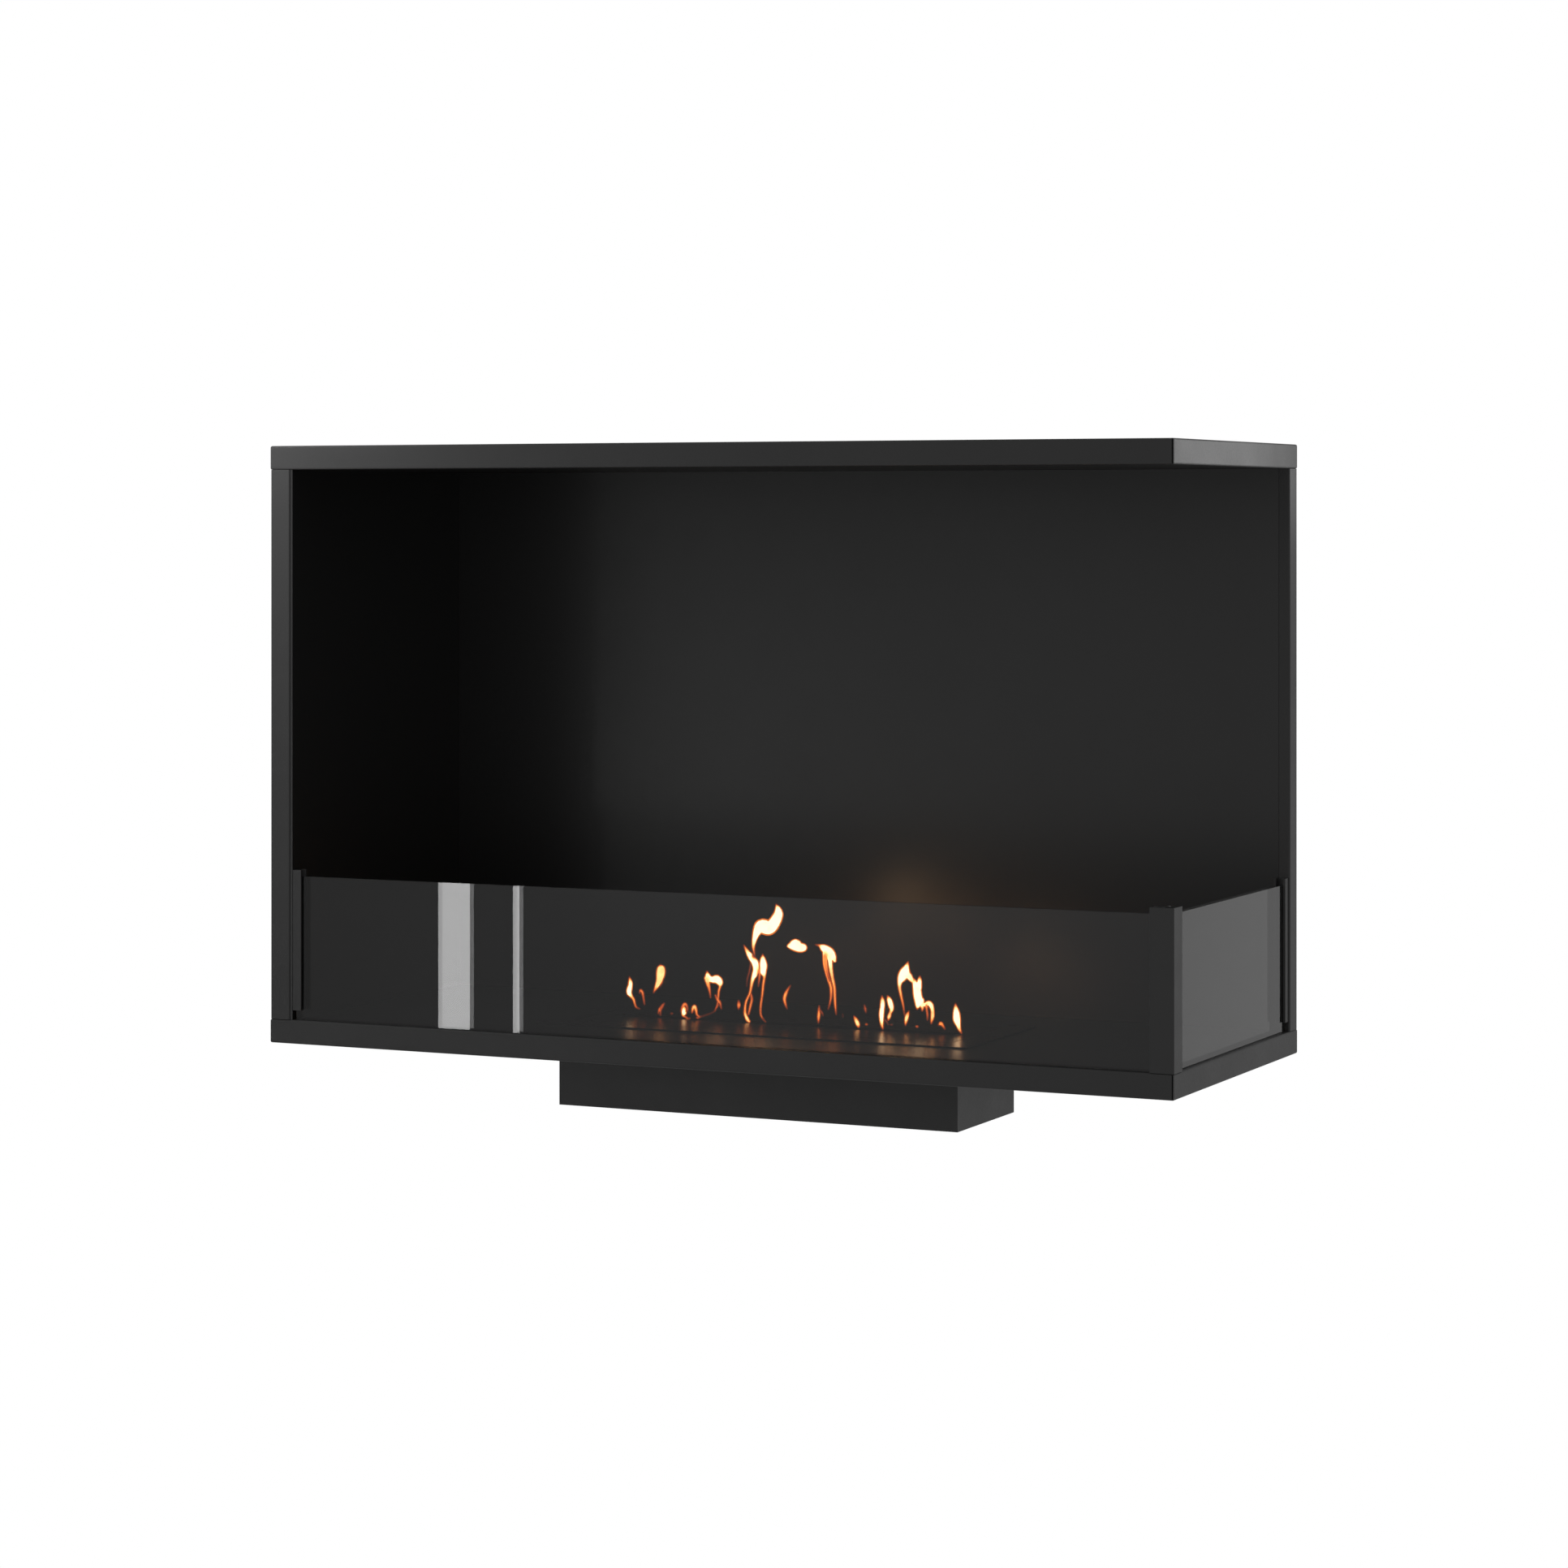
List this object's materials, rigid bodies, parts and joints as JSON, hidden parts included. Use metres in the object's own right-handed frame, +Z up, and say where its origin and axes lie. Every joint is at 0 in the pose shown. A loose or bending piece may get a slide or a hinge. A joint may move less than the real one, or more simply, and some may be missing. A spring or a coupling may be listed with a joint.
{
  "type": "electric fireplace",
  "caption": "Built-in corner electric fireplace: black steel firebox open at the front and right side, low glass guards, and a vapour flame cassette hung through its floor.",
  "frame": {"origin": "centre of the bounding box at its lowest level, the underside of the cassette", "axes": "+X to the open right-hand side, along the front; +Y from the open front to the back; +Z up"},
  "size_m": [1.2, 0.45, 0.8225],
  "materials": {
    "powder_coated_steel": "fine texture matt black powder coat",
    "liner_steel": "heat-proof satin black paint with a fine grain",
    "zinc_steel": "zinc plated",
    "black_anodised": "black anodised, satin",
    "burner_steel": "smooth semi-gloss black enamel",
    "clear_glass": "clear toughened glass, polished edges",
    "black_plastic": "moulded, fine spark texture",
    "white_plastic": "moulded, satin",
    "frosted_plastic": "frosted, translucent",
    "ceramic": "glazed piezo ceramic disc in a nickel ring",
    "circuit_board": "green solder mask"
  },
  "bodies": {
    "casing": {"base_panel": "powder_coated_steel", "top_panel": "powder_coated_steel", "left_panel": "powder_coated_steel", "back_panel": "powder_coated_steel", "cassette_housing": "powder_coated_steel", "floor_liner": "liner_steel", "ceiling_liner": "liner_steel", "left_liner": "liner_steel", "back_liner": "liner_steel", "floor_rail_left": "zinc_steel", "floor_rail_right": "zinc_steel", "ceiling_rail_left": "zinc_steel", "ceiling_rail_right": "zinc_steel", "back_rail_left": "zinc_steel", "back_rail_right": "zinc_steel", "left_rail": "zinc_steel", "feed_valve": "zinc_steel", "power_supply": "zinc_steel", "collar_nut_1": "zinc_steel", "collar_nut_2": "zinc_steel", "collar_nut_3": "zinc_steel", "collar_nut_4": "zinc_steel", "left_glass_channel": "black_anodised", "rear_glass_channel": "black_anodised", "corner_glass_post": "black_anodised", "burner_collar": "burner_steel", "mist_basin": "black_plastic", "mist_hood": "black_plastic", "fan_frame_left": "black_plastic", "fan_frame_right": "black_plastic", "mains_inlet": "black_plastic", "switch_bezel": "black_plastic", "water_tank": "white_plastic", "float_stem": "white_plastic", "led_lens_front": "frosted_plastic", "led_lens_rear": "frosted_plastic", "led_bar_front": "circuit_board", "led_bar_rear": "circuit_board", "control_board": "circuit_board", "mist_transducer_1": "ceramic", "mist_transducer_2": "ceramic", "mist_transducer_3": "ceramic", "mist_transducer_4": "ceramic"},
    "front_pane": {"front_glass": "clear_glass"},
    "side_pane": {"side_glass": "clear_glass"},
    "top_plate": {"burner_top_plate": "burner_steel"},
    "filler": {"filler_cap": "black_plastic"},
    "float": {"level_float": "white_plastic"},
    "fan_left": {"fan_rotor_left": "black_plastic"},
    "fan_right": {"fan_rotor_right": "black_plastic"},
    "rocker": {"power_rocker": "black_plastic"}
  },
  "joints": [
    {"name": "front_glass_lift", "type": "slide", "parent": "casing", "child": "front_pane", "axis": [0, 0, 1], "range_m": [0, 0.19]},
    {"name": "side_glass_lift", "type": "slide", "parent": "casing", "child": "side_pane", "axis": [0, 0, 1], "range_m": [0, 0.19]},
    {"name": "top_plate_lift", "type": "slide", "parent": "casing", "child": "top_plate", "axis": [0, 0, 1], "range_m": [0, 0.08]},
    {"name": "filler_cap_turn", "type": "hinge", "parent": "casing", "child": "filler", "pos_m": [-0.1939, -0.07365, 0.0925], "axis": [0, 0, 1], "range_deg": [0, 90]},
    {"name": "float_rise", "type": "slide", "parent": "casing", "child": "float", "axis": [0, 0, 1], "range_m": [0, 0.01]},
    {"name": "left_fan_spin", "type": "hinge", "parent": "casing", "child": "fan_left", "pos_m": [-0.1934, 0.0659, 0.0305], "axis": [0, 1, 0], "continuous": true},
    {"name": "right_fan_spin", "type": "hinge", "parent": "casing", "child": "fan_right", "pos_m": [0.2246, 0.0659, 0.0305], "axis": [0, 1, 0], "continuous": true},
    {"name": "power_rocker_tilt", "type": "hinge", "parent": "casing", "child": "rocker", "pos_m": [-0.0844, 0.07235, 0.03625], "axis": [-1, 0, 0], "range_deg": [0, 14]}
  ]
}
